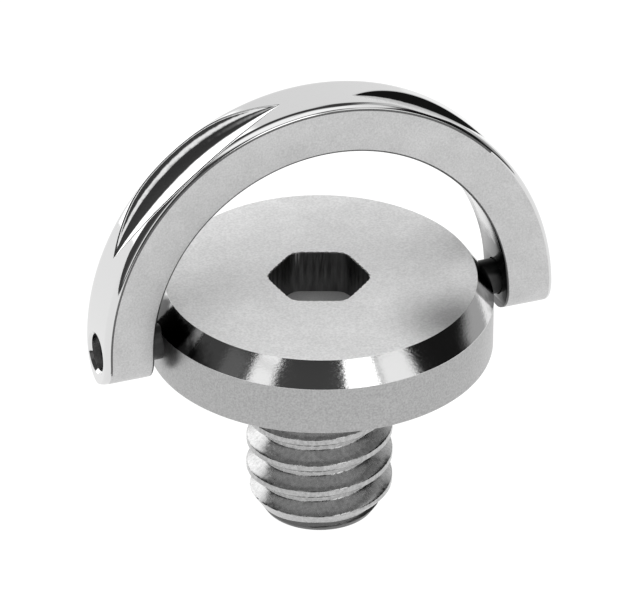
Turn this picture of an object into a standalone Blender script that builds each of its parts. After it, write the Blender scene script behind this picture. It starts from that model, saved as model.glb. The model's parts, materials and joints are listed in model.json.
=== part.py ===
"""Camera mounting screw with a folding D-ring.

A turned stainless screw (1/4"-20 UNC) has a low disc head with a hex socket.
Two hinge pins sit in blind holes in the side of the head, and a half-round
D-ring swings on them, from flat on one side of the head to flat on the other.

Frame: origin at the centre of the stud's end face, +Z up through the head,
X along the hinge axis. Lengths are in millimetres until MM turns them to metres.
"""
import math

import bmesh
import bpy

MM = 0.001

# Stud: 1/4"-20 UNC, right-hand
THREAD_MAJOR_D = 6.12
THREAD_PITCH = 1.27
THREAD_DEPTH = 0.78
THREAD_CREST_FLAT = 0.16
THREAD_HALF_ANGLE = math.radians(30)
THREAD_GROOVE_PHASE_Z = 0.75
STUD_LENGTH = 7.9
STUD_END_R = 2.33
LEAD_IN_HEIGHT = 1.13
NECK_R = 2.3
NECK_LENGTH = 1.4
NECK_CONE_HEIGHT = 0.45
THREAD_TOP_BELOW_HEAD = 0.7
THREAD_TOOL_OVERREACH = 0.06
THREAD_TURNS_BELOW_END = 1

# Head: disc with a wide polished bevel round its top
HEAD_R = 7.2
HEAD_THICKNESS = 3.15
HEAD_BEVEL_RADIAL = 0.7
HEAD_BEVEL_HEIGHT = 1.0
HEAD_BOTTOM_BREAK = 0.1
CLAMP_SEAT_INNER_R = 3.4
CLAMP_SEAT_RELIEF = 0.1
HEX_ACROSS_FLATS = 3.8
HEX_DEPTH = 1.9
HEX_TURN = math.radians(-22)

# D-ring: half ring with two short legs, leaning back a little from upright
RING_OUTER_R = 9.9
RING_INNER_R = 7.8
RING_THICKNESS = 2.75
RING_EDGE_ALONG_RIM = 0.42
RING_EDGE_ON_FACE = 0.22
RING_LEAN = math.radians(-4.75)
PIVOT_BELOW_TOP = 1.6

# Lens-shaped grooves in the rim, one on each shoulder
GROOVES = (
    # centre angle, half length (both in degrees), centre across the rim, half width, depth
    (62.0, 19.5, -0.4, 0.9, 0.42),
    (127.0, 28.0, 0.0, 1.3, 0.65),
)
GROOVE_FLANK_POWER = 2.0

# Hinge pins
PIN_R = 0.75
PIN_INNER_X = 4.35
PIN_RECESS = 0.45
PIN_END_BREAK = 0.1
PIN_HOLE_IN_HEAD_R = 0.77
PIN_HOLE_END_X = 4.3
PIN_HOLE_IN_RING_R = 0.8
PIN_COUNTERSINK_R = 0.9

# Facets
TURNED_SEGMENTS = 48
PIN_SEGMENTS = 24
ARC_SEGMENTS = 56
FOOT_SEGMENTS = 5
RIM_HALF_SEGMENTS = 3
RING_EDGE_TURNS = (math.radians(90), math.radians(45))
SHARP_EDGE = math.radians(25)
WELD_DISTANCE = 0.001
CUT_OVERRUN = 0.5

HEAD_BOTTOM_Z = STUD_LENGTH
HEAD_TOP_Z = STUD_LENGTH + HEAD_THICKNESS
PIVOT_Z = HEAD_TOP_Z - PIVOT_BELOW_TOP
THREAD_R = THREAD_MAJOR_D / 2


# ---------------------------------------------------------------- helpers

def clear_scene():
    """Remove every object of the open scene."""
    for old in list(bpy.data.objects):
        bpy.data.objects.remove(old, do_unlink=True)


def steel(name, colour, roughness):
    """Return a metal material of one colour and roughness."""
    material = bpy.data.materials.new(name)
    material.use_nodes = True
    shader = material.node_tree.nodes["Principled BSDF"]
    shader.inputs["Base Color"].default_value = (*colour, 1.0)
    shader.inputs["Metallic"].default_value = 1.0
    shader.inputs["Roughness"].default_value = roughness
    return material


def add_object(name, bm, material=None):
    """Turn a bmesh in millimetres into a linked object in metres."""
    bmesh.ops.recalc_face_normals(bm, faces=bm.faces)
    bmesh.ops.scale(bm, vec=(MM, MM, MM), verts=bm.verts)
    mesh = bpy.data.meshes.new(name)
    bm.to_mesh(mesh)
    bm.free()
    mesh.shade_smooth()
    mesh.set_sharp_from_angle(angle=SHARP_EDGE)
    if material:
        mesh.materials.append(material)
    item = bpy.data.objects.new(name, mesh)
    bpy.context.scene.collection.objects.link(item)
    return item


def turned(profile, segments, axis="Z"):
    """Return a bmesh turned from (radius, height) points, open ends capped flat."""
    bm = bmesh.new()
    rings = []
    for radius, height in profile:
        ring = []
        for step in range(segments):
            angle = 2 * math.pi * step / segments
            across = radius * math.cos(angle)
            along = radius * math.sin(angle)
            place = (across, along, height) if axis == "Z" else (height, across, along)
            ring.append(bm.verts.new(place))
        rings.append(ring)
    for lower, upper in zip(rings, rings[1:]):
        for step in range(segments):
            after = (step + 1) % segments
            bm.faces.new((lower[step], lower[after], upper[after], upper[step]))
    bm.faces.new(reversed(rings[0]))
    bm.faces.new(rings[-1])
    return bm


def cut(target, cutter):
    """Take the cutter's shape out of the target and hide the cutter."""
    cutter.hide_render = True
    cutter.display_type = "WIRE"
    boolean = target.modifiers.new(cutter.name, "BOOLEAN")
    boolean.operation = "DIFFERENCE"
    boolean.solver = "EXACT"
    boolean.object = cutter


def lofted(sections):
    """Return a bmesh skinned through closed sections of equal point count."""
    bm = bmesh.new()
    loops = [[bm.verts.new(point) for point in section] for section in sections]
    count = len(loops[0])
    for first, second in zip(loops, loops[1:]):
        for step in range(count):
            after = (step + 1) % count
            bm.faces.new((first[step], first[after], second[after], second[step]))
    return bm, loops


# ------------------------------------------------------------- screw body

def blank_profile():
    """Return the turned outline of the screw, from the stud's end to the head's top."""
    neck_start = STUD_LENGTH - NECK_LENGTH
    return [
        (STUD_END_R, 0),
        (THREAD_R, LEAD_IN_HEIGHT),
        (THREAD_R, neck_start - NECK_CONE_HEIGHT),
        (NECK_R, neck_start),
        (NECK_R, HEAD_BOTTOM_Z + CLAMP_SEAT_RELIEF),
        (CLAMP_SEAT_INNER_R, HEAD_BOTTOM_Z + CLAMP_SEAT_RELIEF),
        (CLAMP_SEAT_INNER_R, HEAD_BOTTOM_Z),
        (HEAD_R - HEAD_BOTTOM_BREAK, HEAD_BOTTOM_Z),
        (HEAD_R, HEAD_BOTTOM_Z + HEAD_BOTTOM_BREAK),
        (HEAD_R, HEAD_TOP_Z - HEAD_BEVEL_HEIGHT),
        (HEAD_R - HEAD_BEVEL_RADIAL, HEAD_TOP_Z),
    ]


def thread_tool():
    """Return the bmesh of the helical groove that a threading tool would remove."""
    mouth_half = (THREAD_PITCH - THREAD_CREST_FLAT) / 2
    slope = math.tan(THREAD_HALF_ANGLE)
    outer_half = mouth_half + THREAD_TOOL_OVERREACH * slope
    inner_half = mouth_half - THREAD_DEPTH * slope
    section = [
        (THREAD_R + THREAD_TOOL_OVERREACH, -outer_half),
        (THREAD_R + THREAD_TOOL_OVERREACH, outer_half),
        (THREAD_R - THREAD_DEPTH, inner_half),
        (THREAD_R - THREAD_DEPTH, -inner_half),
    ]
    highest = STUD_LENGTH - THREAD_TOP_BELOW_HEAD
    turns = THREAD_TURNS_BELOW_END + (highest - THREAD_GROOVE_PHASE_Z) / THREAD_PITCH
    steps = int(turns * TURNED_SEGMENTS)
    sections = []
    for step in range(steps + 1):
        turn = step / TURNED_SEGMENTS - THREAD_TURNS_BELOW_END
        angle = 2 * math.pi * turn
        middle = THREAD_GROOVE_PHASE_Z + THREAD_PITCH * turn
        sections.append([
            (radius * math.cos(angle), radius * math.sin(angle), middle + rise)
            for radius, rise in section
        ])
    bm, loops = lofted(sections)
    bm.faces.new(reversed(loops[0]))
    bm.faces.new(loops[-1])
    return bm


def hex_tool():
    """Return the bmesh of the key socket."""
    corner_r = HEX_ACROSS_FLATS / math.sqrt(3)
    floor_z = HEAD_TOP_Z - HEX_DEPTH
    sections = []
    for height in (floor_z, HEAD_TOP_Z + CUT_OVERRUN):
        sections.append([
            (
                corner_r * math.cos(HEX_TURN + side * math.pi / 3),
                corner_r * math.sin(HEX_TURN + side * math.pi / 3),
                height,
            )
            for side in range(6)
        ])
    bm, loops = lofted(sections)
    bm.faces.new(reversed(loops[0]))
    bm.faces.new(loops[-1])
    return bm


def make_screw_body(material):
    """Make the screw: head, socket, neck and threaded stud are one turned piece."""
    body = add_object("screw_body", turned(blank_profile(), TURNED_SEGMENTS), material)
    cut(body, add_object("thread_tool", thread_tool()))
    cut(body, add_object("hex_tool", hex_tool()))
    for side, name in ((-1, "left_pin_drill"), (1, "right_pin_drill")):
        reach = HEAD_R + CUT_OVERRUN
        drill = [
            (PIN_HOLE_IN_HEAD_R, side * PIN_HOLE_END_X),
            (PIN_HOLE_IN_HEAD_R, side * reach),
        ]
        tool = add_object(name, turned(drill, PIN_SEGMENTS, axis="X"))
        tool.location.z = PIVOT_Z * MM
        cut(body, tool)
    return body


# ----------------------------------------------------------------- D-ring

def groove_depth(angle, across):
    """Return how deep the rim is ground away at an angle and a place across the rim."""
    for centre, half_length, middle, half_width, depth in GROOVES:
        along = (math.degrees(angle) - centre) / half_length
        if abs(along) < 1:
            swell = 1 - along * along
            share = abs(across - middle) / (half_width * swell)
            return depth * swell * max(0.0, 1 - share ** GROOVE_FLANK_POWER)
    return 0.0


def ring_outline():
    """Return (radius, across) points round the section of the plain ring."""
    half = RING_THICKNESS / 2
    rim_half = half - RING_EDGE_ALONG_RIM
    rim = []
    for step in range(-RIM_HALF_SEGMENTS, RIM_HALF_SEGMENTS + 1):
        rim.append((RING_OUTER_R, rim_half * step / RIM_HALF_SEGMENTS))
    front = []
    for turn in RING_EDGE_TURNS:
        drop = RING_EDGE_ON_FACE * (1 - math.cos(turn))
        reach = rim_half + RING_EDGE_ALONG_RIM * math.sin(turn)
        front.append((RING_OUTER_R - drop, -reach))
    back = [(radius, -across) for radius, across in reversed(front)]
    return front + rim + back + [(RING_INNER_R, half), (RING_INNER_R, -half)]


def ring_sections():
    """Return the sections of the ring, from the tip of one leg to the tip of the other."""
    half = RING_THICKNESS / 2
    outline = ring_outline()
    foot_turns = [math.pi / 2 * step / FOOT_SEGMENTS for step in range(1, FOOT_SEGMENTS + 1)]
    stations = [(0.0, turn) for turn in reversed(foot_turns)]
    stations += [(math.pi * step / ARC_SEGMENTS, 0.0) for step in range(ARC_SEGMENTS + 1)]
    stations += [(math.pi, turn) for turn in foot_turns]
    sections = []
    for angle, foot_turn in stations:
        drop = half * math.sin(foot_turn)
        squeeze = math.cos(foot_turn)
        section = []
        for radius, across in outline:
            if radius > RING_INNER_R:
                radius = min(radius, RING_OUTER_R - groove_depth(angle, across))
            section.append((
                radius * math.cos(angle),
                across * squeeze,
                radius * math.sin(angle) - drop,
            ))
        sections.append(section)
    return sections


def make_d_ring(material):
    """Make the D-ring, standing almost upright on the hinge axis."""
    bm, _ = lofted(ring_sections())
    bmesh.ops.remove_doubles(bm, verts=bm.verts, dist=WELD_DISTANCE)
    ring = add_object("d_ring", bm, material)
    axis = bpy.data.objects.new("ring_axis", None)
    bpy.context.scene.collection.objects.link(axis)
    axis.location.z = PIVOT_Z * MM
    axis.rotation_euler.x = RING_LEAN
    ring.parent = axis
    for side, name in ((-1, "left_leg_drill"), (1, "right_leg_drill")):
        sink = PIN_COUNTERSINK_R - PIN_HOLE_IN_RING_R
        drill = [
            (PIN_HOLE_IN_RING_R, side * (RING_INNER_R - CUT_OVERRUN)),
            (PIN_HOLE_IN_RING_R, side * (RING_OUTER_R - sink)),
            (PIN_COUNTERSINK_R, side * RING_OUTER_R),
            (PIN_COUNTERSINK_R, side * (RING_OUTER_R + CUT_OVERRUN)),
        ]
        tool = add_object(name, turned(drill, PIN_SEGMENTS, axis="X"))
        tool.parent = axis
        cut(ring, tool)
    return ring


# ------------------------------------------------------------ hinge pins

def make_hinge_pins(material):
    """Make the two pins that join the legs to the head."""
    outer_x = RING_OUTER_R - PIN_RECESS
    for side, name in ((-1, "left_hinge_pin"), (1, "right_hinge_pin")):
        profile = [
            (PIN_R - PIN_END_BREAK, side * PIN_INNER_X),
            (PIN_R, side * (PIN_INNER_X + PIN_END_BREAK)),
            (PIN_R, side * (outer_x - PIN_END_BREAK)),
            (PIN_R - PIN_END_BREAK, side * outer_x),
        ]
        pin = add_object(name, turned(profile, PIN_SEGMENTS, axis="X"), material)
        pin.location.z = PIVOT_Z * MM


def build():
    """Build the whole screw."""
    clear_scene()
    make_screw_body(steel("turned_steel", (0.60, 0.60, 0.59), 0.32))
    make_d_ring(steel("polished_steel", (0.70, 0.70, 0.69), 0.15))
    make_hinge_pins(steel("pin_steel", (0.40, 0.40, 0.40), 0.25))


build()
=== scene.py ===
"""Camera mounting screw with a folding D-ring: the detailed, finished model.

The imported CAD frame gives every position. Each CAD node is replaced by a finer
piece of the same size, with rounded edges and a procedural steel finish.
Lengths in the tables below are in millimetres until MM turns them to metres.
"""
import json
import math

import bmesh
import bpy
from mathutils import Matrix, Vector


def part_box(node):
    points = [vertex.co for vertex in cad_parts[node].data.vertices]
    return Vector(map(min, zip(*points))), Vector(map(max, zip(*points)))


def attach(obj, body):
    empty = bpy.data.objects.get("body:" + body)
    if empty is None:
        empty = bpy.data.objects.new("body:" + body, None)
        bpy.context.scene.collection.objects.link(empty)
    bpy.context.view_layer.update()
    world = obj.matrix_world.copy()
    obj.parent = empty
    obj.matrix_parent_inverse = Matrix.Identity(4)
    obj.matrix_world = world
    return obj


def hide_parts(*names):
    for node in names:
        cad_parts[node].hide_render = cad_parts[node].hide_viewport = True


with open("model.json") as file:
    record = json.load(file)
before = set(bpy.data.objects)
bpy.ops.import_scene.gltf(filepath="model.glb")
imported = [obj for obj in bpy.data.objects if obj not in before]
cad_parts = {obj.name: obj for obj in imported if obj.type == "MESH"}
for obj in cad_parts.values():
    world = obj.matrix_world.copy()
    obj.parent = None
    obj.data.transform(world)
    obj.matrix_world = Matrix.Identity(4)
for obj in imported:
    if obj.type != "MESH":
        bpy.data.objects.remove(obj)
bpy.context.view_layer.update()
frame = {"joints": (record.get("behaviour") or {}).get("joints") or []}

MM = 0.001

# Places, read from the CAD frame
body_low, body_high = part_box("screw_body")
ring_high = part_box("d_ring")[1]
pin_low, pin_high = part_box("left_hinge_pin")
hinge = frame["joints"][0]
FLOOR_Z = body_low.z
HEAD_TOP_Z = body_high.z / MM
HEAD_R = body_high.x / MM
PIVOT_Z = hinge["pos_m"][2] / MM
RING_OUTER_R = ring_high.x / MM
PIN_R = (pin_high.z - pin_low.z) / 2 / MM
PIN_OUTER_X = -pin_low.x / MM
PIN_INNER_X = -pin_high.x / MM

# Stud: 1/4"-20 UNC, right-hand, rolled with round crests and roots
THREAD_R = 3.06
THREAD_PITCH = 1.27
THREAD_DEPTH = 0.62
THREAD_CREST_HALF = 0.12
THREAD_ROOT_HALF = 0.10
THREAD_GROOVE_PHASE_Z = 0.75
THREAD_FLANK_STRAIGHT = 0.65
STUD_LENGTH = 7.9
STUD_END_R = 2.33
STUD_END_BREAK_R = 0.06
STUD_END_BREAK_HEIGHT = 0.02
LEAD_IN_HEIGHT = 1.13
# Height up to which the stud's end and the foot of its lead-in are painted near black as shade
STUD_END_PAINTED_SHADE_HEIGHT = 0.45
NECK_R = 2.3
NECK_LENGTH = 1.4
NECK_CONE_HEIGHT = 0.45
NECK_FILLET_R = 0.15

# Head
HEAD_BEVEL_RADIAL = 0.7
HEAD_BEVEL_HEIGHT = 1.0
HEAD_EDGE_ROUND = 0.035
HEAD_BOTTOM_ROUND = 0.1
CLAMP_SEAT_INNER_R = 3.4
CLAMP_SEAT_RELIEF = 0.1
# Painted shade on the head's top: a soft darker patch, its centre and size, and the share of the grey left
# at its middle
PAINTED_SHADE_PATCH_CENTRE = (4.0, -5.0)
PAINTED_SHADE_PATCH_R = 3.5
PAINTED_SHADE_PATCH_SHARE = 0.33
# Painted dark reflection on the bevel: it fades to near black between these distances from the middle,
# towards the hinge on each side
BEVEL_PAINTED_SHADE_FROM_X = 6.2
BEVEL_PAINTED_SHADE_TO_X = 7.0
HEX_ACROSS_FLATS = 3.8
HEX_CORNER_POWER = 14
HEX_DEPTH = 1.9
HEX_MOUTH_BREAK = 0.04
HEX_MOUTH_TEAR = 0.012
HEX_TURN = math.radians(-20.5)
HEX_SURROUND_GAP = 5 * HEX_MOUTH_TEAR
HEX_TEAR_WAVES = (37, 61)
HEX_OFF_CENTRE = 0.07

# D-ring
RING_INNER_R = 7.8
RING_THICKNESS = 2.75
RING_LEAN = math.radians(-4.75)
RING_EDGE_ALONG_RIM = 0.42
RING_EDGE_ON_FACE = 0.22
RING_INNER_EDGE = 0.09
# A strip on the faces beside the outer edge, and the angle where the painted dark reflection along that edge
# starts
RING_EDGE_LINE = 0.045
EDGE_LINE_START = math.radians(42)
# Heights above the pivot over which the ring's inner face fades from the painted dark reflection to plain
# steel
INNER_PAINTED_SHADE_ABOVE_PIVOT = (2.3, 3.3)
GROOVES = (
    # centre angle, half length (both in degrees), centre across the rim, half width, depth
    (62.0, 19.5, -0.4, 0.9, 0.42),
    (127.0, 28.0, 0.0, 1.3, 0.65),
)
GROOVE_FLANK_POWER = 2.6
GROOVE_EDGE_BLEND = 0.09
NO_GROOVE = -1.0
LEG_HOLE_R = 0.8
LEG_COUNTERSINK_R = 0.92
PIN_END_ROUND = 0.12

# Mesh density
AROUND_BODY = 288
THREAD_ROW_HEIGHT = 0.03
AROUND_RING = 560
RIM_STEPS = 88
EDGE_STEPS = 24
FOOT_STEPS = 16
AROUND_PIN = 64
NECK_FILLET_STEPS = 5
HEAD_BOTTOM_STEPS = 6
HEAD_EDGE_STEPS = 4
RING_INNER_EDGE_STEPS = 3
PIN_END_STEPS = 6
WELD_DISTANCE = 0.0005
SHARP_ANGLE = 30
BODY_SHARP_ANGLE = 40
DRILL_RUN_IN = 0.5
DRILL_RUN_OUT = 0.3

# Finishes of the screw's faces, in the order of its materials
TOP, BEVEL, SIDE, THREAD, SOCKET_WALL, SOCKET_FLOOR, UNDERSIDE, STUD_END = range(8)
HEX_ZONE_R = HEX_ACROSS_FLATS / math.sqrt(3) + 0.2
FINISH_MARGIN = 0.02
MOUTH_MARGIN = 0.01
FLOOR_NORMAL = 0.7
UNDERSIDE_NORMAL = -0.5

# Finishes of the ring's faces, in the order of its materials; EDGE_LINE is a painted dark reflection along
# the edges
RIM, FACE, INNER, GROOVE, EDGE_LINE = range(5)
RING_SKIN = 0.01
FLAT_FACE_NORMAL = 0.999
EDGE_LINE_NORMAL = 0.93
GROOVE_FINISH_DEPTH = 0.03

# Camera
CAMERA_AZIMUTH = math.radians(-20.85)
CAMERA_ELEVATION = math.radians(31.9)
CAMERA_ROLL = math.radians(0.4)
CAMERA_DISTANCE = 0.4273
CAMERA_LENS = 575.0
CAMERA_AIM_BELOW_TOP = 3.0 * MM
CAMERA_SLIDE_RIGHT = 0.0534 * MM
CAMERA_SLIDE_UP = 1.4247 * MM
SENSOR_WIDTH = 36.0
CLIP_START = 0.01


# ------------------------------------------------------------ mesh helpers

def object_from(name, bm, sharp_angle=SHARP_ANGLE):
    """Turn a bmesh in millimetres into a smooth-shaded object in metres."""
    bmesh.ops.recalc_face_normals(bm, faces=bm.faces)
    bmesh.ops.scale(bm, vec=(MM, MM, MM), verts=bm.verts)
    mesh = bpy.data.meshes.new(name)
    bm.to_mesh(mesh)
    bm.free()
    mesh.shade_smooth()
    mesh.set_sharp_from_angle(angle=math.radians(sharp_angle))
    item = bpy.data.objects.new(name, mesh)
    bpy.context.scene.collection.objects.link(item)
    return item


def skinned(loops, caps=True):
    """Return a bmesh skinned through closed loops of equal point count."""
    bm = bmesh.new()
    rows = [[bm.verts.new(point) for point in loop] for loop in loops]
    count = len(rows[0])
    for first, second in zip(rows, rows[1:]):
        for step in range(count):
            after = (step + 1) % count
            bm.faces.new((first[step], first[after], second[after], second[step]))
    if caps:
        bm.faces.new(reversed(rows[0]))
        bm.faces.new(rows[-1])
    return bm


def arc(centre, radius, start, end, steps):
    """Return (x, y) points on an arc, angles in degrees."""
    points = []
    for step in range(steps + 1):
        angle = math.radians(start + (end - start) * step / steps)
        points.append((centre[0] + radius * math.cos(angle), centre[1] + radius * math.sin(angle)))
    return points


def cut_out(target, cutter):
    """Apply a Boolean difference and remove the cutter."""
    boolean = target.modifiers.new("cut", "BOOLEAN")
    boolean.operation = "DIFFERENCE"
    boolean.solver = "EXACT"
    boolean.object = cutter
    graph = bpy.context.evaluated_depsgraph_get()
    cut_mesh = bpy.data.meshes.new_from_object(target.evaluated_get(graph))
    target.modifiers.clear()
    target.data = cut_mesh
    bpy.data.objects.remove(cutter, do_unlink=True)


def lathe_along_x(profile, segments):
    """Return a bmesh turned about X from (radius, x) points."""
    loops = []
    for radius, x in profile:
        loops.append([
            (
                x,
                radius * math.cos(2 * math.pi * step / segments),
                radius * math.sin(2 * math.pi * step / segments),
            )
            for step in range(segments)
        ])
    return skinned(loops)


# --------------------------------------------------------------- materials

# Frequencies of the noise in the steel, per metre
SATIN_MOTTLE = 800
SATIN_GRAIN = 14000
TOP_CLOUDS = 500
TOP_GRAIN = 11000
SIDE_LINES = 12000
SIDE_GRAIN = 13000
BEVEL_LINES = 14000
THREAD_LINES = 9000
THREAD_GRAIN = 6500
GROOVE_CHATTER = 1500
GROOVE_SPECKS = 9000
# Noise for the ragged border of the painted dark reflection beside the hinge
SHADE_BORDER_NOISE = 2500
POLISHING_MARKS = (400, 400, 2500)
SOCKET_TEARS = (5000, 5000, 700)

# How often the lines round the axis change along their length, per radian
SIDE_LINE_CHANGES = 2.0
BEVEL_LINE_CHANGES = 60.0
THREAD_LINE_CHANGES = 4.0

# The part of a noise value's range that is used
NOISE_LOW = 0.3
NOISE_HIGH = 0.7

# Shares of mottle and grain in the satin finish, and the swing of its roughness
MOTTLE_SHARE = 0.45
GRAIN_SHARE = 0.55
SATIN_SWING = 0.03

# How far the bumps stand out, in metres
FINE_BUMP = 0.00001
CHATTER_BUMP = 0.00002
TEAR_BUMP = 0.00003

# Greys of the painted dark reflection beside the hinge, on the ring's inner face and on the bevel, and how
# far its border wanders
INNER_PAINTED_SHADE_GREY = 0.02
INNER_PAINTED_SHADE_WANDER = 1.2 * MM
BEVEL_PAINTED_SHADE_GREY = 0.03
BEVEL_PAINTED_SHADE_WANDER = 0.6 * MM


class Shader:
    """A small builder for node materials."""

    def __init__(self, name, colour, roughness):
        self.material = bpy.data.materials.new(name)
        self.material.use_nodes = True
        self.tree = self.material.node_tree
        self.bsdf = self.tree.nodes["Principled BSDF"]
        self.bsdf.inputs["Base Color"].default_value = (colour, colour, colour, 1)
        self.bsdf.inputs["Metallic"].default_value = 1.0
        self.bsdf.inputs["Roughness"].default_value = roughness
        self.coords = self.tree.nodes.new("ShaderNodeTexCoord").outputs["Object"]

    def add(self, kind, **settings):
        """Add a node and set its properties."""
        node = self.tree.nodes.new(kind)
        for key, value in settings.items():
            setattr(node, key, value)
        return node

    def link(self, source, target):
        """Join two sockets."""
        self.tree.links.new(source, target)

    def scaled(self, scale):
        """Return object coordinates stretched by a scale per axis."""
        mapping = self.add("ShaderNodeMapping")
        mapping.inputs["Scale"].default_value = scale
        self.link(self.coords, mapping.inputs["Vector"])
        return mapping.outputs["Vector"]

    def around_axis(self, along, across):
        """Return coordinates that run round Z slowly and along Z or R quickly."""
        split = self.add("ShaderNodeSeparateXYZ")
        self.link(self.coords, split.inputs["Vector"])
        angle = self.add("ShaderNodeMath", operation="ARCTAN2")
        self.link(split.outputs["Y"], angle.inputs[0])
        self.link(split.outputs["X"], angle.inputs[1])
        flat = self.add("ShaderNodeCombineXYZ")
        self.link(split.outputs["X"], flat.inputs["X"])
        self.link(split.outputs["Y"], flat.inputs["Y"])
        reach = self.add("ShaderNodeVectorMath", operation="LENGTH")
        self.link(flat.outputs["Vector"], reach.inputs[0])
        joined = self.add("ShaderNodeCombineXYZ")
        for source, size, target in (
            (angle.outputs[0], along, "X"),
            (reach.outputs["Value"], across, "Y"),
            (split.outputs["Z"], across, "Z"),
        ):
            times = self.add("ShaderNodeMath", operation="MULTIPLY")
            times.inputs[1].default_value = size
            self.link(source, times.inputs[0])
            self.link(times.outputs[0], joined.inputs[target])
        return joined.outputs["Vector"]

    def noise(self, vector, scale, detail=3.0):
        """Return a noise value in 0..1."""
        node = self.add("ShaderNodeTexNoise")
        node.inputs["Scale"].default_value = scale
        node.inputs["Detail"].default_value = detail
        self.link(vector, node.inputs["Vector"])
        return node.outputs["Fac"]

    def spread(self, value, low, high):
        """Map a noise value's middle range to low..high."""
        node = self.add("ShaderNodeMapRange")
        node.inputs["From Min"].default_value = NOISE_LOW
        node.inputs["From Max"].default_value = NOISE_HIGH
        node.inputs["To Min"].default_value = low
        node.inputs["To Max"].default_value = high
        self.link(value, node.inputs["Value"])
        return node.outputs["Result"]

    def roughness_from(self, value, low, high):
        """Vary the roughness with a noise value."""
        self.link(self.spread(value, low, high), self.bsdf.inputs["Roughness"])

    def colour_from(self, value, low, high):
        """Vary the grey of the metal with a noise value."""
        self.link(self.spread(value, low, high), self.bsdf.inputs["Base Color"])

    def fade(self, value, start, end, low, high):
        """Run smoothly from low to high while a value runs from start to end."""
        node = self.add("ShaderNodeMapRange", interpolation_type="SMOOTHSTEP")
        node.inputs["From Min"].default_value = start
        node.inputs["From Max"].default_value = end
        node.inputs["To Min"].default_value = low
        node.inputs["To Max"].default_value = high
        self.link(value, node.inputs["Value"])
        return node.outputs["Result"]

    def combine(self, operation, first, second=None, third=None):
        """Combine sockets and plain numbers with a math node."""
        node = self.add("ShaderNodeMath", operation=operation)
        for socket, value in zip(node.inputs, (first, second, third)):
            if isinstance(value, (int, float)):
                socket.default_value = value
            elif value is not None:
                self.link(value, socket)
        return node.outputs[0]

    def bump(self, value, strength, distance, below=None):
        """Add a bump, over an earlier one if there is one."""
        node = self.add("ShaderNodeBump")
        node.inputs["Strength"].default_value = strength
        node.inputs["Distance"].default_value = distance
        self.link(value, node.inputs["Height"])
        if below:
            self.link(below, node.inputs["Normal"])
        self.link(node.outputs["Normal"], self.bsdf.inputs["Normal"])
        return node.outputs["Normal"]


def satin_steel(name, grey, roughness, metallic=1.0):
    """Fine bead-blasted steel with a faint mottle."""
    shader = Shader(name, grey, roughness)
    shader.bsdf.inputs["Metallic"].default_value = metallic
    mottle = shader.noise(shader.coords, SATIN_MOTTLE, 5)
    grain = shader.noise(shader.coords, SATIN_GRAIN, 1)
    fine = shader.combine("MULTIPLY", grain, GRAIN_SHARE)
    both = shader.combine("MULTIPLY_ADD", mottle, MOTTLE_SHARE, fine)
    shader.colour_from(both, grey * 0.84, grey * 1.16)
    shader.roughness_from(mottle, roughness - SATIN_SWING, roughness + SATIN_SWING)
    shader.bump(grain, 0.25, FINE_BUMP)
    return shader.material


def head_top_steel(name, grey, roughness, metallic):
    """Satin head top with cloudy wipe marks and a painted shade: a soft dark patch beside the right-hand
    bevel.
    """
    shader = Shader(name, grey, roughness)
    shader.bsdf.inputs["Metallic"].default_value = metallic
    clouds = shader.noise(shader.coords, TOP_CLOUDS, 6)
    grain = shader.noise(shader.coords, TOP_GRAIN, 1)
    away = shader.add("ShaderNodeVectorMath", operation="DISTANCE")
    away.inputs[1].default_value = [part * MM for part in PAINTED_SHADE_PATCH_CENTRE] + [HEAD_TOP_Z * MM]
    shader.link(shader.coords, away.inputs[0])
    # Painted shade: the base colour is darkened towards the patch's centre
    patch = shader.fade(away.outputs["Value"], 0.0, PAINTED_SHADE_PATCH_R * MM, PAINTED_SHADE_PATCH_SHARE, 1.0)
    steel = shader.spread(clouds, grey * 0.93, grey * 1.07)
    speckled = shader.combine("MULTIPLY", steel, shader.spread(grain, 0.9, 1.1))
    shader.link(shader.combine("MULTIPLY", speckled, patch), shader.bsdf.inputs["Base Color"])
    shader.bump(grain, 0.25, FINE_BUMP)
    return shader.material


def brushed_side_steel(name, grey, roughness):
    """Turned steel with fine lines round the axis."""
    shader = Shader(name, grey, roughness)
    lines = shader.noise(shader.around_axis(SIDE_LINE_CHANGES, SIDE_LINES), 1.0, 3)
    grain = shader.noise(shader.coords, SIDE_GRAIN, 1)
    shader.colour_from(grain, grey * 0.86, grey * 1.14)
    below = shader.bump(lines, 0.15, FINE_BUMP)
    shader.bump(grain, 0.2, FINE_BUMP, below)
    return shader.material


def polished_steel(name, grey, roughness):
    """Mirror-polished steel with faint wipe marks."""
    shader = Shader(name, grey, roughness)
    marks = shader.noise(shader.scaled(POLISHING_MARKS), 1.0, 4)
    shader.roughness_from(marks, roughness * 0.7, roughness * 1.5)
    return shader.material


def milled_groove_steel(name, grey, roughness):
    """Bright milled groove with a little chatter and specks."""
    shader = Shader(name, grey, roughness)
    chatter = shader.noise(shader.coords, GROOVE_CHATTER, 2)
    specks = shader.noise(shader.coords, GROOVE_SPECKS, 2)
    shader.colour_from(specks, grey * 0.93, grey * 1.06)
    shader.bump(chatter, 0.3, CHATTER_BUMP)
    return shader.material


def hinge_painted_shade_steel(name, grey, roughness):
    """Polished steel with a painted dark reflection: near black beside the hinge, with a ragged border."""
    shader = Shader(name, grey, roughness)
    split = shader.add("ShaderNodeSeparateXYZ")
    shader.link(shader.coords, split.inputs["Vector"])
    # Painted dark reflection: the base colour fades to near black below these heights
    border_noise = shader.noise(shader.coords, SHADE_BORDER_NOISE, 3)
    height = shader.combine("MULTIPLY_ADD", border_noise, INNER_PAINTED_SHADE_WANDER, split.outputs["Z"])
    low, high = ((PIVOT_Z + above) * MM for above in INNER_PAINTED_SHADE_ABOVE_PIVOT)
    shader.link(shader.fade(height, low, high, INNER_PAINTED_SHADE_GREY, grey), shader.bsdf.inputs["Base Color"])
    return shader.material


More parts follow.
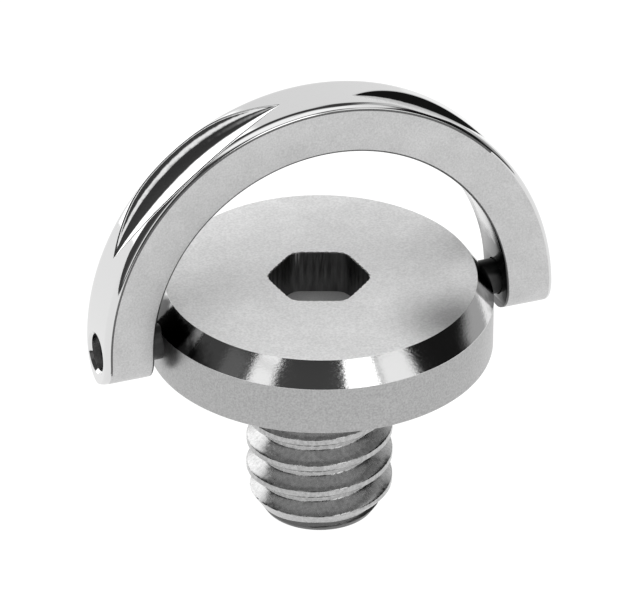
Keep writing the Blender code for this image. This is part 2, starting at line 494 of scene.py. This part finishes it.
def turned_mirror_steel(name, grey, roughness):
    """Turned mirror bevel with hair lines round the axis, and a painted dark reflection that makes it near
    black beside the hinge.
    """
    shader = Shader(name, grey, roughness)
    split = shader.add("ShaderNodeSeparateXYZ")
    shader.link(shader.coords, split.inputs["Vector"])
    border_noise = shader.noise(shader.coords, SHADE_BORDER_NOISE, 3)
    # Painted dark reflection: the base colour fades to near black towards each side, with a ragged border
    side = shader.combine("ABSOLUTE", split.outputs["X"])
    aside = shader.combine("MULTIPLY_ADD", border_noise, BEVEL_PAINTED_SHADE_WANDER, side)
    steel = shader.fade(aside, BEVEL_PAINTED_SHADE_FROM_X * MM, BEVEL_PAINTED_SHADE_TO_X * MM, grey, BEVEL_PAINTED_SHADE_GREY)
    shader.link(steel, shader.bsdf.inputs["Base Color"])
    lines = shader.noise(shader.around_axis(BEVEL_LINE_CHANGES, BEVEL_LINES), 1.0, 2)
    shader.roughness_from(lines, roughness * 0.7, roughness * 1.5)
    shader.bump(lines, 0.22, FINE_BUMP)
    return shader.material


def thread_steel(name, grey, roughness):
    """Rolled thread: shiny, with grain and fine lines that follow the turns."""
    shader = Shader(name, grey, roughness)
    lines = shader.noise(shader.around_axis(THREAD_LINE_CHANGES, THREAD_LINES), 1.0, 3)
    grain = shader.noise(shader.coords, THREAD_GRAIN, 3)
    shader.colour_from(grain, grey * 0.76, grey * 1.2)
    shader.roughness_from(grain, roughness * 0.9, roughness * 1.5)
    shader.bump(lines, 0.05, FINE_BUMP)
    return shader.material


def socket_steel(name, grey, roughness):
    """Broached socket: dull, with torn vertical marks."""
    shader = Shader(name, grey, roughness)
    tears = shader.noise(shader.scaled(SOCKET_TEARS), 1.0, 4)
    shader.colour_from(tears, grey * 0.6, grey * 1.3)
    shader.bump(tears, 0.5, TEAR_BUMP)
    return shader.material


# -------------------------------------------------------------- screw body

def thread_radius(angle, height):
    """Return the stud's radius at an angle and height, with round crests and roots."""
    turn = (height - THREAD_GROOVE_PHASE_Z) / THREAD_PITCH - angle / (2 * math.pi)
    from_groove = abs(turn - round(turn)) * THREAD_PITCH
    flank = THREAD_PITCH / 2 - THREAD_CREST_HALF - THREAD_ROOT_HALF
    share = min(1.0, max(0.0, (from_groove - THREAD_ROOT_HALF) / flank))
    ease = share * share * (3 - 2 * share)
    rise = THREAD_FLANK_STRAIGHT * share + (1 - THREAD_FLANK_STRAIGHT) * ease
    return THREAD_R - THREAD_DEPTH * (1 - rise)


def stud_envelope(height):
    """Return the largest radius the stud may have at a height."""
    neck_start = STUD_LENGTH - NECK_LENGTH
    lead_in = STUD_END_R + height * (THREAD_R - STUD_END_R) / LEAD_IN_HEIGHT
    cone = NECK_R + (neck_start - height) * (THREAD_R - NECK_R) / NECK_CONE_HEIGHT
    return max(NECK_R, min(lead_in, cone))


def hex_reach(angle):
    """Return the distance from the axis to the socket's wall at an angle, with soft corners."""
    total = 0.0
    for side in range(6):
        facing = math.cos(angle - HEX_TURN - math.radians(30 + 60 * side))
        if facing > 0:
            total += (facing / (HEX_ACROSS_FLATS / 2)) ** HEX_CORNER_POWER
    return total ** (-1 / HEX_CORNER_POWER)


def hex_surround(angle):
    """Return the distance to a line on the flat top just outside the socket's mouth."""
    return hex_reach(angle) + HEX_MOUTH_BREAK + HEX_SURROUND_GAP


def hex_mouth(angle):
    """Return the distance to the socket's broken, slightly torn mouth edge."""
    tear = math.sin(HEX_TEAR_WAVES[0] * angle) + math.sin(HEX_TEAR_WAVES[1] * angle + 1)
    return hex_reach(angle) + HEX_MOUTH_BREAK + HEX_MOUTH_TEAR * tear


def body_rows():
    """Return (height, radius function) rows from the stud's end up, over the top and into the socket."""
    def plain(radius):
        return lambda angle: radius

    rows = [(0.0, plain(STUD_END_R - STUD_END_BREAK_R)), (STUD_END_BREAK_HEIGHT, plain(STUD_END_R))]
    neck_start = STUD_LENGTH - NECK_LENGTH
    count = int(neck_start / THREAD_ROW_HEIGHT)
    for step in range(1, count + 1):
        height = neck_start * step / count
        rows.append((
            height,
            lambda angle, height=height: min(thread_radius(angle, height), stud_envelope(height)),
        ))
    underside = STUD_LENGTH
    relief = underside + CLAMP_SEAT_RELIEF
    neck_fillet = (NECK_R + NECK_FILLET_R, relief - NECK_FILLET_R)
    for radius, height in arc(neck_fillet, NECK_FILLET_R, 180, 90, NECK_FILLET_STEPS):
        rows.append((height, plain(radius)))
    rows.append((relief, plain(CLAMP_SEAT_INNER_R)))
    rows.append((underside, plain(CLAMP_SEAT_INNER_R)))
    bottom_round = (HEAD_R - HEAD_BOTTOM_ROUND, underside + HEAD_BOTTOM_ROUND)
    for radius, height in arc(bottom_round, HEAD_BOTTOM_ROUND, -90, 0, HEAD_BOTTOM_STEPS):
        rows.append((height, plain(radius)))
    bevel_low = HEAD_TOP_Z - HEAD_BEVEL_HEIGHT
    slope = math.degrees(math.atan2(HEAD_BEVEL_RADIAL, HEAD_BEVEL_HEIGHT))
    for radius, height in softened_corner((HEAD_R, bevel_low), 0, slope):
        rows.append((height, plain(radius)))
    for radius, height in softened_corner((HEAD_R - HEAD_BEVEL_RADIAL, HEAD_TOP_Z), slope, 90):
        rows.append((height, plain(radius)))
    rows.append((HEAD_TOP_Z, hex_surround))
    rows.append((HEAD_TOP_Z, hex_mouth))
    rows.append((HEAD_TOP_Z - HEX_MOUTH_BREAK, hex_reach))
    rows.append((HEAD_TOP_Z - HEX_DEPTH, hex_reach))
    return rows


def softened_corner(corner, first_normal, second_normal):
    """Return an arc that rounds an outer corner between two faces with these normal angles."""
    half = math.radians(second_normal - first_normal) / 2
    middle = math.radians(first_normal + second_normal) / 2
    inward = HEAD_EDGE_ROUND / math.cos(half)
    centre = (corner[0] - inward * math.cos(middle), corner[1] - inward * math.sin(middle))
    return arc(centre, HEAD_EDGE_ROUND, first_normal, second_normal, HEAD_EDGE_STEPS)


def body_finish(centre, normal):
    """Return the finish of a face of the screw from its centre and normal."""
    height = centre.z / MM
    reach = math.hypot(centre.x, centre.y) / MM
    in_socket = HEAD_TOP_Z - HEX_DEPTH - FINISH_MARGIN < height < HEAD_TOP_Z - MOUTH_MARGIN
    if in_socket and reach < HEX_ZONE_R:
        deep = height < HEAD_TOP_Z - HEX_DEPTH / 2
        return SOCKET_FLOOR if deep and normal.z > FLOOR_NORMAL else SOCKET_WALL
    if height > HEAD_TOP_Z - FINISH_MARGIN:
        return TOP
    if height > HEAD_TOP_Z - HEAD_BEVEL_HEIGHT - FINISH_MARGIN:
        return BEVEL
    if height > STUD_LENGTH + FINISH_MARGIN and reach > HEAD_R - 2 * HEAD_BOTTOM_ROUND:
        return SIDE
    if height > STUD_LENGTH - FINISH_MARGIN and normal.z < UNDERSIDE_NORMAL:
        return UNDERSIDE
    if height < STUD_END_PAINTED_SHADE_HEIGHT:
        return STUD_END
    return THREAD


def make_screw_body():
    """Make the head, socket, neck and threaded stud."""
    loops = []
    for height, radius in body_rows():
        loop = []
        for step in range(AROUND_BODY):
            angle = 2 * math.pi * step / AROUND_BODY
            reach = radius(angle)
            x = reach * math.cos(angle)
            y = reach * math.sin(angle)
            if radius in (hex_reach, hex_mouth, hex_surround):
                x -= HEX_OFF_CENTRE * math.cos(CAMERA_AZIMUTH)
                y -= HEX_OFF_CENTRE * math.sin(CAMERA_AZIMUTH)
            loop.append((x, y, height))
        loops.append(loop)
    body = object_from("screw", skinned(loops), sharp_angle=BODY_SHARP_ANGLE)
    for material in (
        head_top_steel("head_top_satin", 0.67, 0.36, 0.3),
        turned_mirror_steel("bevel_mirror", 0.68, 0.09),
        brushed_side_steel("head_side_satin", 0.38, 0.34),
        thread_steel("thread_rolled", 0.42, 0.2),
        # Painted shade: the socket's walls get a near-black grey for the shade inside the socket; the torn
        # marks are the broached finish
        socket_steel("socket_broached_painted_shade", 0.16, 0.35),
        satin_steel("socket_floor", 0.40, 0.5, 0.3),
        # Painted shade: a darker copy of the side's steel for the underside, where shade falls under the
        # head
        brushed_side_steel("head_underside_painted_shade", 0.26, 0.4),
        # Painted shade: the stud's end and the foot of its lead-in get a near-black grey
        satin_steel("stud_end_painted_shade", 0.12, 0.4),
    ):
        body.data.materials.append(material)
    for face in body.data.polygons:
        face.material_index = body_finish(face.center, face.normal)
    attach(body, "screw")
    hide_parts("screw_body")


# ------------------------------------------------------------------ D-ring

def groove_at(angle):
    """Return the swell (share of full size), middle, half width and depth of a groove, or None."""
    for centre, half_length, middle, half_width, depth in GROOVES:
        along = (math.degrees(angle) - centre) / half_length
        if abs(along) < 1:
            return 1 - along * along, middle, half_width, depth
    return None


def groove_depth(angle, across):
    """Return how deep the rim is ground away at a place: negative outside the grooves."""
    groove = groove_at(angle)
    if groove is None:
        return NO_GROOVE
    swell, middle, half_width, depth = groove
    share = abs(across - middle) / (half_width * swell)
    return depth * swell * (1 - share ** GROOVE_FLANK_POWER)


def blended_rim(radius, angle, across):
    """Return the rim's radius with the groove blended softly into it, and sharply at its tips."""
    groove = groove_at(angle)
    if groove is None:
        return radius
    blend = GROOVE_EDGE_BLEND * groove[0]
    ground = RING_OUTER_R - groove_depth(angle, across)
    overlap = max(0.0, blend - abs(radius - ground))
    return min(radius, ground) - overlap * overlap / (4 * blend)


def ring_outline():
    """Return (radius, across) points round the ring's section, from the front edge over the rim."""
    half = RING_THICKNESS / 2
    rim_half = half - RING_EDGE_ALONG_RIM
    front = [(RING_OUTER_R - RING_EDGE_ON_FACE - RING_EDGE_LINE, -half)]
    for step in range(EDGE_STEPS, 0, -1):
        angle = math.pi / 2 * step / EDGE_STEPS
        front.append((
            RING_OUTER_R - RING_EDGE_ON_FACE * (1 - math.cos(angle)),
            -rim_half - RING_EDGE_ALONG_RIM * math.sin(angle),
        ))
    rim = [(RING_OUTER_R, rim_half * (2 * step / RIM_STEPS - 1)) for step in range(RIM_STEPS + 1)]
    back = [(radius, -across) for radius, across in reversed(front)]
    edge = RING_INNER_EDGE
    inner = arc((RING_INNER_R + edge, half - edge), edge, 90, 180, RING_INNER_EDGE_STEPS)
    inner += [(radius, -across) for radius, across in reversed(inner)]
    return front + rim + back + inner


def ring_finish(centre, normal):
    """Return the finish of a face of the ring from its centre, in millimetres, and normal."""
    reach = math.hypot(centre.x, centre.z) if centre.z > 0 else abs(centre.x)
    # The inner edges, and the strip beside the outer edge past its start, get the painted dark reflection
    if RING_INNER_R + RING_SKIN < reach < RING_INNER_R + RING_INNER_EDGE:
        return EDGE_LINE
    beside_rim = reach > RING_OUTER_R - RING_EDGE_ON_FACE - RING_EDGE_LINE
    past_start = centre.z > centre.x * math.tan(EDGE_LINE_START)
    if beside_rim and past_start and abs(normal.y) > EDGE_LINE_NORMAL:
        return EDGE_LINE
    if abs(normal.y) > FLAT_FACE_NORMAL:
        return FACE
    if reach < RING_INNER_R + RING_SKIN:
        return INNER
    if centre.z < 0 and reach < RING_OUTER_R - RING_EDGE_ON_FACE:
        return FACE
    if groove_depth(math.atan2(centre.z, centre.x), centre.y) > GROOVE_FINISH_DEPTH:
        return GROOVE
    return RIM


def make_d_ring():
    """Make the ring with its two legs, their holes and the grooves in its rim."""
    half = RING_THICKNESS / 2
    outline = ring_outline()
    feet = [math.pi / 2 * step / FOOT_STEPS for step in range(1, FOOT_STEPS + 1)]
    stations = [(0.0, turn) for turn in reversed(feet)]
    stations += [(math.pi * step / AROUND_RING, 0.0) for step in range(AROUND_RING + 1)]
    stations += [(math.pi, turn) for turn in feet]
    loops = []
    for angle, foot_turn in stations:
        drop = half * math.sin(foot_turn)
        squeeze = math.cos(foot_turn)
        loop = []
        for radius, across in outline:
            if radius > RING_OUTER_R - RING_EDGE_ON_FACE - RING_SKIN:
                radius = blended_rim(radius, angle, across)
            loop.append((radius * math.cos(angle), across * squeeze, radius * math.sin(angle) - drop))
        loops.append(loop)
    bm = skinned(loops, caps=False)
    bmesh.ops.remove_doubles(bm, verts=bm.verts, dist=WELD_DISTANCE)
    ring = object_from("d_ring_finished", bm)
    for side in (-1, 1):
        sink = LEG_COUNTERSINK_R - LEG_HOLE_R
        drill = [
            (LEG_HOLE_R, side * (RING_INNER_R - DRILL_RUN_IN)),
            (LEG_HOLE_R, side * (RING_OUTER_R - sink)),
            (LEG_COUNTERSINK_R + DRILL_RUN_OUT, side * (RING_OUTER_R + DRILL_RUN_OUT)),
        ]
        cut_out(ring, object_from("leg_drill", lathe_along_x(drill, AROUND_PIN)))
    ring.data.shade_smooth()
    ring.data.set_sharp_from_angle(angle=math.radians(SHARP_ANGLE))
    ring.data.materials.clear()
    for material in (
        polished_steel("ring_polished", 0.64, 0.05),
        satin_steel("ring_face_satin", 0.51, 0.36),
        # The inner face carries a painted dark reflection beside the hinge
        hinge_painted_shade_steel("ring_inner_polished", 0.46, 0.16),
        milled_groove_steel("ring_groove_milled", 0.66, 0.06),
        # Painted dark reflection: a near-black line along the ring's edges
        satin_steel("ring_edge_painted_reflection", 0.12, 0.3),
    ):
        ring.data.materials.append(material)
    for face in ring.data.polygons:
        face.material_index = ring_finish(face.center / MM, face.normal)
    place = Matrix.Translation((0, 0, PIVOT_Z * MM)) @ Matrix.Rotation(RING_LEAN, 4, "X")
    ring.data.transform(place)
    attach(ring, "ring")
    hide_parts("d_ring")


# -------------------------------------------------------------- hinge pins

def make_hinge_pins():
    """Make the two pins, with rounded ends."""
    # The pins' near-black grey is painted shade for the dark inside the leg holes
    material = polished_steel("pin_painted_shade", 0.05, 0.35)
    round_r = PIN_R - PIN_END_ROUND
    for side, name in ((-1, "left_hinge_pin"), (1, "right_hinge_pin")):
        outer = arc((round_r, PIN_OUTER_X - PIN_END_ROUND), PIN_END_ROUND, 0, 90, PIN_END_STEPS)
        inner = [(round_r, PIN_INNER_X), (PIN_R, PIN_INNER_X + PIN_END_ROUND)]
        profile = [(radius, side * x) for radius, x in inner + outer]
        pin = object_from(name + "_finished", lathe_along_x(profile, AROUND_PIN))
        pin.data.transform(Matrix.Translation((0, 0, PIVOT_Z * MM)))
        pin.data.materials.append(material)
        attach(pin, "screw")
        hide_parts(name)


# ------------------------------------------------------- camera and studio

def camera_axes():
    """Return the camera's right, up and back directions."""
    back = Vector((
        math.sin(CAMERA_AZIMUTH) * math.cos(CAMERA_ELEVATION),
        -math.cos(CAMERA_AZIMUTH) * math.cos(CAMERA_ELEVATION),
        math.sin(CAMERA_ELEVATION),
    ))
    level_right = Vector((0, 0, 1)).cross(back).normalized()
    level_up = back.cross(level_right)
    right = level_right * math.cos(CAMERA_ROLL) + level_up * math.sin(CAMERA_ROLL)
    up = level_up * math.cos(CAMERA_ROLL) - level_right * math.sin(CAMERA_ROLL)
    return right, up, back


def make_camera():
    """Put the camera at the photograph's viewing angle."""
    right, up, back = camera_axes()
    aim = Vector((0, 0, body_high.z - CAMERA_AIM_BELOW_TOP))
    data = bpy.data.cameras.new("camera")
    data.lens = CAMERA_LENS
    data.sensor_width = SENSOR_WIDTH
    data.clip_start = CLIP_START
    camera = bpy.data.objects.new("camera", data)
    bpy.context.scene.collection.objects.link(camera)
    turn = Matrix((right, up, back)).transposed().to_4x4()
    place = aim + back * CAMERA_DISTANCE + right * CAMERA_SLIDE_RIGHT + up * CAMERA_SLIDE_UP
    camera.matrix_world = Matrix.Translation(place) @ turn
    bpy.context.scene.camera = camera


# Studio panels as the object sees them: azimuth from the camera's side, then elevation, in degrees.
# They are placed so that the polished steel shows the photograph's light and dark bands. A later
# panel covers an earlier one. The last two are overhead, so their upper edges are past the zenith.
STUDIO_PANELS = (
    # centre, half width, lowest, highest, edge softness, brightness
    (180, 54, -25, 28.5, 4, 1.0),
    (146, 14, 20, 44, 6, 0.75),
    (-164, 16, 10, 36, 4, 1.0),
    (-139, 17, -25, 38, 4, 2.2),
    (122, 15, -25, 12, 4, 0.45),
    (147, 10, -25, 6, 4, 0.55),
    (29.5, 11.5, 5, 45, 2.0, 2.2),
    (54, 12, 5, 42, 4.0, 1.15),
    (41, 1.0, 5, 42, 1.5, 0.6),
    (-40, 8.5, 5, 38, 3, 1.2),
    (-39, 9.0, 38, 49.5, 2, 1.2),
    (-61, 8, 5, 36, 3.0, 0.14),
    (85, 16, -25, 50, 4.0, 0.01),
    (105.5, 23.5, 14, 42, 3.0, 0.01),
    (108, 42, 46, 99, 4, 1.1),
    (0, 181, 61, 99, 8, 1.4),
)
ROOM_LOW = 0.065
ROOM_HIGH = 0.04
ROOM_CHANGES_FROM = math.radians(35)
ROOM_CHANGES_TO = math.radians(60)

# Overhead fill, in metres and watts
FILL_DIAMETER = 1.6
FILL_HEIGHT = 0.5
FILL_POWER = 4.6

# Floor
FLOOR_HALF_SIZE = 1500
FLOOR_GREY = 0.1
FLOOR_GLOW = 1.0


def make_world():
    """Light the object with soft panels in a dark room, all from one world shader."""
    world = bpy.data.worlds.new("studio")
    bpy.context.scene.world = world
    world.use_nodes = True
    tree = world.node_tree
    background = tree.nodes["Background"]
    coords = tree.nodes.new("ShaderNodeTexCoord")
    split = tree.nodes.new("ShaderNodeSeparateXYZ")
    tree.links.new(coords.outputs["Generated"], split.inputs["Vector"])

    def math_node(operation, first, second=None):
        node = tree.nodes.new("ShaderNodeMath")
        node.operation = operation
        for socket, value in zip(node.inputs, (first, second)):
            if value is None:
                continue
            if isinstance(value, (int, float)):
                socket.default_value = value
            else:
                tree.links.new(value, socket)
        return node.outputs[0]

    def smooth_edge(value, start, end):
        node = tree.nodes.new("ShaderNodeMapRange")
        node.interpolation_type = "SMOOTHSTEP"
        node.inputs["From Min"].default_value = start
        node.inputs["From Max"].default_value = end
        tree.links.new(value, node.inputs["Value"])
        return node.outputs["Result"]

    elevation = math_node("ARCSINE", split.outputs["Z"])
    azimuth = math_node("ARCTAN2", split.outputs["X"], math_node("MULTIPLY", split.outputs["Y"], -1))
    rise = smooth_edge(elevation, ROOM_CHANGES_FROM, ROOM_CHANGES_TO)
    light = math_node("ADD", ROOM_LOW, math_node("MULTIPLY", rise, ROOM_HIGH - ROOM_LOW))
    for centre, half_width, lowest, highest, soft, brightness in STUDIO_PANELS:
        middle = CAMERA_AZIMUTH + math.radians(centre)
        away = math_node("SUBTRACT", azimuth, middle)
        turns = math_node("DIVIDE", away, 2 * math.pi)
        wrapped = math_node("MULTIPLY", math_node("SUBTRACT", turns, math_node("ROUND", turns)), 2 * math.pi)
        aside = math_node("ABSOLUTE", wrapped)
        edge = math.radians(soft)
        inside = smooth_edge(aside, math.radians(half_width) + edge, math.radians(half_width) - edge)
        above = smooth_edge(elevation, math.radians(lowest) - edge, math.radians(lowest) + edge)
        below = smooth_edge(elevation, math.radians(highest) + edge, math.radians(highest) - edge)
        mask = math_node("MULTIPLY", inside, math_node("MULTIPLY", above, below))
        step = math_node("MULTIPLY", mask, math_node("SUBTRACT", brightness, light))
        light = math_node("ADD", light, step)
    tree.links.new(light, background.inputs["Color"])


def make_floor():
    """Make the pale floor: bright enough to read as white paper."""
    bm = bmesh.new()
    bmesh.ops.create_grid(bm, x_segments=4, y_segments=4, size=FLOOR_HALF_SIZE)
    floor = object_from("floor", bm)
    floor.location.z = FLOOR_Z
    material = bpy.data.materials.new("white_paper")
    material.use_nodes = True
    shader = material.node_tree.nodes["Principled BSDF"]
    shader.inputs["Base Color"].default_value = (FLOOR_GREY, FLOOR_GREY, FLOOR_GREY, 1)
    shader.inputs["Roughness"].default_value = 1.0
    shader.inputs["Specular IOR Level"].default_value = 0.0
    shader.inputs["Emission Color"].default_value = (1, 1, 1, 1)
    shader.inputs["Emission Strength"].default_value = FLOOR_GLOW
    floor.data.materials.append(material)


def make_overhead_fill():
    """Add a broad overhead fill, hidden from reflections so that the polished bands stay clean."""
    data = bpy.data.lights.new("overhead_fill", "AREA")
    data.shape = "DISK"
    data.size = FILL_DIAMETER
    data.energy = FILL_POWER
    light = bpy.data.objects.new("overhead_fill", data)
    light.location = (0, 0, FILL_HEIGHT)
    light.visible_glossy = False
    bpy.context.scene.collection.objects.link(light)


make_camera()
make_screw_body()
make_d_ring()
make_hinge_pins()
make_world()
make_overhead_fill()
make_floor()
bpy.context.scene.view_settings.view_transform = "Standard"
